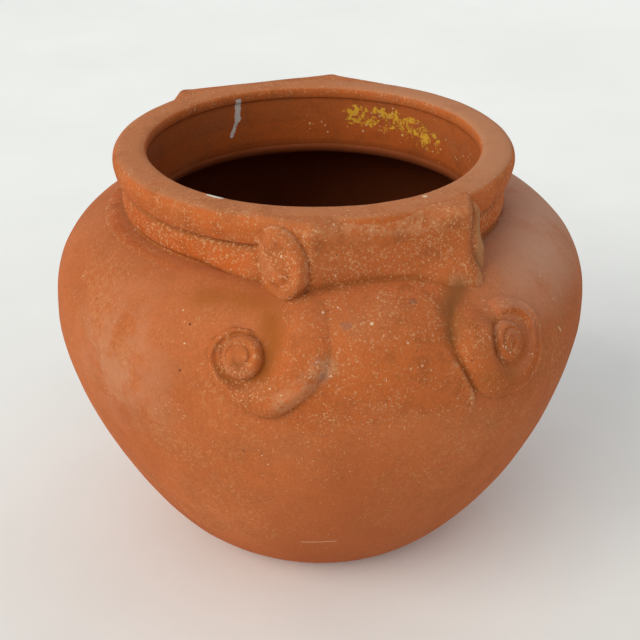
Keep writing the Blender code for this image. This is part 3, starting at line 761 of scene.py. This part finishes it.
# Lime frosted along the left ribbon's bead and in the right eye, grey grime, single grains of lime
bead = near_line(scroll_clay, (-0.0900, -0.2040, 0.2340), (-0.0600, -0.2085, 0.2570), 0.0120, 0.8)
frosting = both(scroll_clay, bead, patchy(scroll_clay, 190.0, 4.0, 0.7, 0.36, 0.58))
lay_over(scroll_clay, tint(0.62, 0.335, 0.170), both(scroll_clay, frosting, 0.62))
frosted = calc(scroll_clay, "MAXIMUM", bead, near(scroll_clay, (0.0745, -0.2105, 0.2470), 0.0130, 0.6))
frosted = calc(scroll_clay, "MAXIMUM", frosted, near(scroll_clay, (-0.0496, -0.1850, 0.2856), 0.0110, 0.8))
lime = specks(scroll_clay, 340.0, 0.24, both(scroll_clay, frosted, 0.42))
lay_over(scroll_clay, tint(0.78, 0.60, 0.38), both(scroll_clay, lime, 0.85))
for spot, size in (
    ((-0.0616, -0.2125, 0.2518), 0.0100), ((-0.0905, -0.2032, 0.2321), 0.0050),
    ((-0.0409, -0.1945, 0.2804), 0.0090), ((-0.0640, -0.2040, 0.2600), 0.0120),
):
    grime = ragged(scroll_clay, near(scroll_clay, spot, size, 0.9), 420.0, 0.54)
    lay_over(scroll_clay, tint(0.27, 0.150, 0.100), both(scroll_clay, grime, 0.40))
grime = ragged(scroll_clay, near(scroll_clay, (0.0118, -0.1866, 0.2879), 0.0052, 0.7), 520.0, 0.48)
lay_over(scroll_clay, tint(0.20, 0.100, 0.062), both(scroll_clay, grime, 0.45))
dot_over(scroll_clay, tint(0.80, 0.62, 0.38), 0.9, [
    ((-0.0231, -0.1978, 0.2801), 0.0016), ((0.0621, -0.1959, 0.2737), 0.0015),
    ((0.0295, -0.1899, 0.2853), 0.0017), ((0.0394, -0.1819, 0.2887), 0.0017)])


def rounded(inside, radius):
    """How far a rounded edge has come up, from 0 to 1, this far inside the outline."""
    share = min(max(inside / radius, 0.0), 1.0)
    return math.sqrt(1 - (1 - share) ** 2)


def table(rows):
    """A table's columns, drawn smoothly through its rows, by its first column."""
    return numpy.array([list(row) for row in drawn_through(rows, 12)]).T


APRON_TABLE = table(APRON)
RIBBON_TABLES = {hand: table(rows) for hand, rows in RIBBONS.items()}


def looked_up(columns, value):
    return [float(numpy.interp(value, columns[0], column)) for column in columns[1:]]


def apron_height(across, up):
    """Height of the apron over the wall: thin at the left and the top, with a soft right edge."""
    left, right, thick = looked_up(APRON_TABLE, up)
    if across < 0:
        thick *= eased(1.0, 0.62, (-across - 0.016) / 0.030)
        thick *= 1 - eased(0.0, 0.4, (up - 0.028) / 0.026) * eased(0.0, 1.0, (0.010 - across) / 0.030)
        return BURIED + (thick - BURIED) * rounded(left + across, 0.012)
    soft = eased(0.006, 0.026, (up + 0.012) / 0.040)
    thick *= 1 - eased(0.0, 0.45, (across - 0.016) / 0.036) * eased(0.0, 1.0, (up + 0.004) / 0.020)
    inside = right - across + soft * 0.3
    edge = 0.0008 * math.exp(-(((inside - 0.0060) / 0.0018) ** 2)) * eased(1.0, 0.0, (up - 0.004) / 0.012)
    return BURIED + (thick + edge - BURIED) * eased(0.0, 1.0, inside / soft)


def ribbon_height(hand, across, up):
    """Height of the ribbon over the wall: a groove by the coil, a full band, an edge that rolls down."""
    reach = math.hypot(across, up)
    degrees = math.degrees(math.atan2(HANDS[hand] * across, up)) % 360
    height = BURIED
    for turn in (degrees, degrees - 360):
        if not RIBBON_START <= turn <= RIBBON_END:
            continue
        near_edge, far_edge, crest, near_soft, far_soft = looked_up(RIBBON_TABLES[hand], turn)
        floor = eased(0.0026, 0.0006, (turn - 90) / 70) if hand == "left" else 0.0022
        body = floor + (crest - floor) * eased(0.0, 1.0, (reach - near_edge) / near_soft + 0.5)
        if hand == "left":
            bead = 0.0024 * eased(0.0, 1.0, (turn - 196) / 34) * eased(1.0, 0.0, (turn - 258) / 24)
            body += bead * math.exp(-(((far_edge - 0.0095 - reach) / 0.0056) ** 2))
        else:
            line = 0.0019 * eased(0.0, 1.0, (turn - 40) / 24) * eased(1.0, 0.0, (turn - 172) / 30)
            body += line * math.exp(-(((far_edge - 0.0028 - reach) / 0.0016) ** 2))
        fade = eased(0.0, 1.0, (turn - RIBBON_START) / 30) * eased(1.0, 0.0, (turn - 300) / 50)
        height = max(height, BURIED + (body - BURIED) * rounded(far_edge - reach, far_soft) * fade)
    return height


def wall_frame(turn, height):
    """A frame on the wall: X runs round it to the right, Y up it, Z out of it."""
    turn = math.radians(turn)
    out = Vector((math.sin(turn), -math.cos(turn), 0))
    across = Vector((math.cos(turn), math.sin(turn), 0))
    point = out * wall_radius(height) + Vector((0, 0, height))
    normal = wall_normal(point)
    placed = Matrix((across, normal.cross(across), normal)).transposed().to_4x4()
    placed.translation = point
    return placed


def on_wall(placed, across, up):
    """Where a point of a flat pattern comes to lie on the wall."""
    near_end, far_end = 0.03, -0.09
    for _ in range(20):
        middle = (near_end + far_end) / 2
        point = placed @ Vector((across, up, middle))
        if math.hypot(point.x, point.y) > wall_radius(point.z):
            near_end = middle
        else:
            far_end = middle
    return point


def round_eye(placed, sign, swing, reach):
    """Where a point this far from a scroll's eye, at this turn round it, comes to lie on the wall."""
    return on_wall(placed, sign * reach * math.sin(swing), reach * math.cos(swing))


def scroll_frames(end):
    """The frames of one end's scrolls and of its apron."""
    turn = BRACKETS[end]["turn"] + SCROLL_TURN
    frames = {hand: wall_frame(turn + EYES[hand][0], EYES[hand][1]) for hand in HANDS}
    frames["apron"] = wall_frame(turn, APRON_AT)
    return frames


def lifted(point, own, unplace):
    """A point of the wall, lifted as far as a piece stands off it there, and eased into its neighbours."""
    heights = {}
    for piece, matrix in unplace.items():
        spot = matrix @ point
        if piece == "apron":
            heights[piece] = apron_height(spot.x, spot.y)
        else:
            heights[piece] = ribbon_height(piece, spot.x, spot.y)
    mine = heights.pop(own)
    others = max(0.0, *heights.values())
    short = others - mine
    close = max(1 - abs(short) / BLEND, 0.0)
    lift = max(mine, others) + close * close * BLEND / 4
    lift -= 0.0007 * eased(0.0, 1.0, 0.5 + short / (2 * BLEND)) + max(short - BLEND, 0.0)
    return point + wall_normal(point) * lift


for end in BRACKETS:
    frames = scroll_frames(end)
    unplace = {piece: placed.inverted() for piece, placed in frames.items()}
    placed = frames["apron"]
    rings = []
    for i in range(71):
        up = -0.044 + 0.110 * i / 70
        left, right, _ = looked_up(APRON_TABLE, up)
        ring = []
        for k in range(81):
            across = -left - 0.002 + (left + right + 0.008) * k / 80
            ring.append(lifted(on_wall(placed, across, up), "apron", unplace))
        for k in range(7):
            point = on_wall(placed, right + 0.005 - (left + right + 0.006) * k / 6, up)
            ring.append(point - wall_normal(point) * SUNK)
        rings.append(ring)
    set_piece(f"{end}_apron_sheet", drawn_along(rings), scroll_clay, "scroll_clay", f"{end}_apron")

    for hand, sign in HANDS.items():
        placed = frames[hand]
        rings = []
        for i in range(188):
            turn = RIBBON_START + (RIBBON_END - RIBBON_START) * i / 187
            swing = math.radians(turn)
            first, last = 0.0115, looked_up(RIBBON_TABLES[hand], turn)[1] + 0.0022
            ring = []
            for k in range(49):
                reach = first + (last - first) * k / 48
                ring.append(lifted(round_eye(placed, sign, swing, reach), hand, unplace))
            for reach in (last, (first + last) / 2, first):
                point = round_eye(placed, sign, swing, reach)
                ring.append(point - wall_normal(point) * SUNK)
            rings.append(ring)
        band = drawn_along(rings)
        set_piece(f"{end}_{hand}_ribbon_band", band, scroll_clay, "scroll_clay", f"{end}_{hand}_ribbon")


# Coils. A short roll of clay wound up and pressed into the eye of each lower scroll, its winding
# still showing as a spiral groove. The right one was pressed a little narrower.
COIL = 0.0150
COIL_RISE = {"left": 0.0080, "right": 0.0070}
# Off the eye's middle across and up, then how far it is squeezed across
COILS = {"left": (-0.0018, 0.0004, 1.0), "right": (-0.0012, -0.0012, 0.88)}


def coil_lift(hand, reach, swing):
    """A low dome with a spiral groove of one turn and a half."""
    share = reach / COIL
    arm = (share * 1.75 - swing / math.tau) % 1.0
    groove = (0.5 + 0.5 * math.cos(math.tau * arm)) ** 2.2
    groove = groove * eased(0.0, 1.0, (share - 0.10) / 0.25) * eased(1.0, 0.0, (share - 0.62) / 0.2)
    dome = math.sqrt(max(1 - (max(share - 0.62, 0.0) / 0.42) ** 2, 0.0))
    return COIL_RISE[hand] * (dome - 0.19 * groove)


for end in BRACKETS:
    for hand, sign in HANDS.items():
        placed = scroll_frames(end)[hand]
        aside, above, squeeze = COILS[hand]
        outline = [(ON_AXIS, -0.004), (COIL * 1.04, -0.004), (COIL * 1.04, -0.001)]
        outline += [(COIL * (1.03 - 1.03 * i / 30), 0.001) for i in range(30)] + [(ON_AXIS, 0.001)]
        coil = turned(outline, 72)
        for vert in coil.verts:
            flat = vert.co.copy()
            lift = flat.z
            if lift > 0:
                lift = coil_lift(hand, math.hypot(flat.x, flat.y), sign * math.atan2(flat.x, flat.y))
            point = on_wall(placed, flat.x * squeeze + aside, flat.y + above)
            vert.co = point + wall_normal(point) * lift
        set_piece(f"{end}_{hand}_coil_roll", coil, scroll_clay, "scroll_clay", f"{end}_{hand}_coil")


# Weathering and painted shade. Years outdoors have left dirt in every hollow and rubbed the raised edges of the
# added clay pale; the hollows also get painted shade and the inside of the pot is painted darker as shade, so each
# point is marked with how deep it lies, how far it stands out and whether it is inside.
ROUND_ABOUT = []
for i in range(18):
    high = 0.12 + 0.86 * (i + 0.5) / 18
    spin = i * 2.39996
    flat = math.sqrt(1 - high * high)
    ROUND_ABOUT.append(Vector((flat * math.cos(spin), flat * math.sin(spin), high)))
REACH = 0.018
INNER_EDGE = MOUTH + 0.006
all_points, all_faces = [], []
for piece in clay_pieces:
    first = len(all_points)
    all_points += [vert.co.copy() for vert in piece.data.vertices]
    all_faces += [[first + i for i in face.vertices] for face in piece.data.polygons]
all_clay = BVHTree.FromPolygons(all_points, all_faces)


def is_inside(point):
    """How much painted shade the inside gets: 1 on the inner wall below the neck, less on the inner side of neck
    and rim.
    """
    if 0.272 < point.z < 0.294 and (point - RIM_AXIS).xy.length < INNER_EDGE:
        return eased(0.85, 0.40, (point.z - 0.284) / 0.010)
    if point.z < SHOULDER_TOP:
        within = wall_radius(point.z) - 0.008 - math.hypot(point.x, point.y)
        return eased(0.0, 0.85, within / 0.004) * eased(0.0, 1.0, (point.z - 0.010) / 0.004)
    within = INNER_EDGE - (point - RIM_AXIS).xy.length
    # The inner side of neck and rim on the left, facing away from the light, gets more painted shade
    most = eased(0.50, 0.22, (point.x + 0.16) / 0.14)
    return eased(0.0, most, within / 0.003) * eased(1.0, 0.0, (point.z - RIM_TOP + 0.012) / 0.008)


def mark(mesh, name, values):
    mesh.attributes.new(name, "FLOAT", "POINT").data.foreach_set("value", values)


for piece in clay_pieces:
    mesh = piece.data
    depths = []
    for vert in mesh.vertices:
        lean = Vector((0, 0, 1)).rotation_difference(vert.normal)
        start = vert.co + vert.normal * 0.0006
        depth = 0.0
        for way in ROUND_ABOUT:
            way = lean @ way
            _, normal, _, far = all_clay.ray_cast(start, way, REACH)
            if far is not None and normal.dot(way) < 0:
                depth += (1 - far / REACH) / len(ROUND_ABOUT)
        depths.append(min(depth * 1.6, 1.0))
    mark(mesh, "hollow", depths)
    mark(mesh, "inside", [is_inside(vert.co) for vert in mesh.vertices])

    count = len(mesh.vertices)
    worn = numpy.zeros(count)
    if piece.name not in ("pot_wall", "base_slab_clay"):
        points = numpy.empty(count * 3)
        normals = numpy.empty(count * 3)
        ends = numpy.empty(len(mesh.edges) * 2, dtype=int)
        mesh.vertices.foreach_get("co", points)
        mesh.vertices.foreach_get("normal", normals)
        mesh.edges.foreach_get("vertices", ends)
        points, normals, ends = points.reshape(-1, 3), normals.reshape(-1, 3), ends.reshape(-1, 2)
        links = numpy.bincount(ends.ravel(), minlength=count)[:, None]
        smooth = points.copy()
        for _ in range(9):
            around = numpy.zeros_like(smooth)
            numpy.add.at(around, ends[:, 0], smooth[ends[:, 1]])
            numpy.add.at(around, ends[:, 1], smooth[ends[:, 0]])
            smooth = 0.5 * smooth + 0.5 * around / links
        worn = numpy.clip((((points - smooth) * normals).sum(axis=1) - 0.00015) / 0.0004, 0, 1)
    mark(mesh, "worn", worn)


# Stage. A wide pale floor that is a little brighter far off, soft daylight from the left, and the camera
# where the photograph was taken from.
floor_mesh = bmesh.new()
bmesh.ops.create_grid(floor_mesh, x_segments=1, y_segments=1, size=5)
mesh = bpy.data.meshes.new("floor")
floor_mesh.to_mesh(mesh)
floor_mesh.free()
floor = bpy.data.objects.new("floor", mesh)
paint = bpy.data.materials.new("pale floor")
paint.use_nodes = True
floor_shader = paint.node_tree.nodes["Principled BSDF"]
floor_shader.inputs["Roughness"].default_value = 0.6
streaks = ramp(paint, clouds(paint, 3.0, 5.0, 0.6), 0.3, 0.7)
lighting = mixed(paint, streaks, tint(0.80, 0.775, 0.70), tint(0.86, 0.835, 0.77))
seen = mixed(paint, streaks, tint(0.89, 0.905, 0.86), tint(0.95, 0.965, 0.92))
by_camera = add(paint, "LightPath", {}).outputs["Is Camera Ray"]
plug(paint, floor_shader.inputs["Base Color"], mixed(paint, by_camera, lighting, seen))
far_off = ramp(paint, along_axis(paint, 1), -0.3, 0.9)
glow = scaled(paint, far_off, 0.0, 1.0, 0.02, 0.11)
floor_shader.inputs["Emission Color"].default_value = (0.97, 0.99, 1.0, 1)
plug(paint, floor_shader.inputs["Emission Strength"], both(paint, by_camera, glow))
mesh.materials.append(paint)
bpy.context.scene.collection.objects.link(floor)

world = bpy.data.worlds.new("daylight")
bpy.context.scene.world = world
world.use_nodes = True
sky = world.node_tree.nodes["Background"]
sky.inputs["Color"].default_value = (0.95, 0.97, 1.0, 1)
sky.inputs["Strength"].default_value = 0.58

lamp = bpy.data.lights.new("window", "SUN")
lamp.energy = 1.75
lamp.angle = math.radians(52)
lamp.color = (1.0, 0.965, 0.91)
window = bpy.data.objects.new("window", lamp)
window.rotation_euler = Vector((0.86, 0.30, -0.50)).to_track_quat("-Z", "Y").to_euler()
bpy.context.scene.collection.objects.link(window)

AIM = Vector((0, 0, 0.177))
AZIMUTH, ELEVATION, DISTANCE = math.radians(-17), math.radians(28.46), 1.0856
lens = bpy.data.cameras.new("camera")
lens.lens = 70.3
lens.sensor_width = 36
camera = bpy.data.objects.new("camera", lens)
level = math.cos(ELEVATION)
away = Vector((math.sin(AZIMUTH) * level, -math.cos(AZIMUTH) * level, math.sin(ELEVATION)))
camera.location = AIM + away * DISTANCE
camera.rotation_euler = (-away).to_track_quat("-Z", "Y").to_euler()
bpy.context.scene.collection.objects.link(camera)
bpy.context.scene.camera = camera
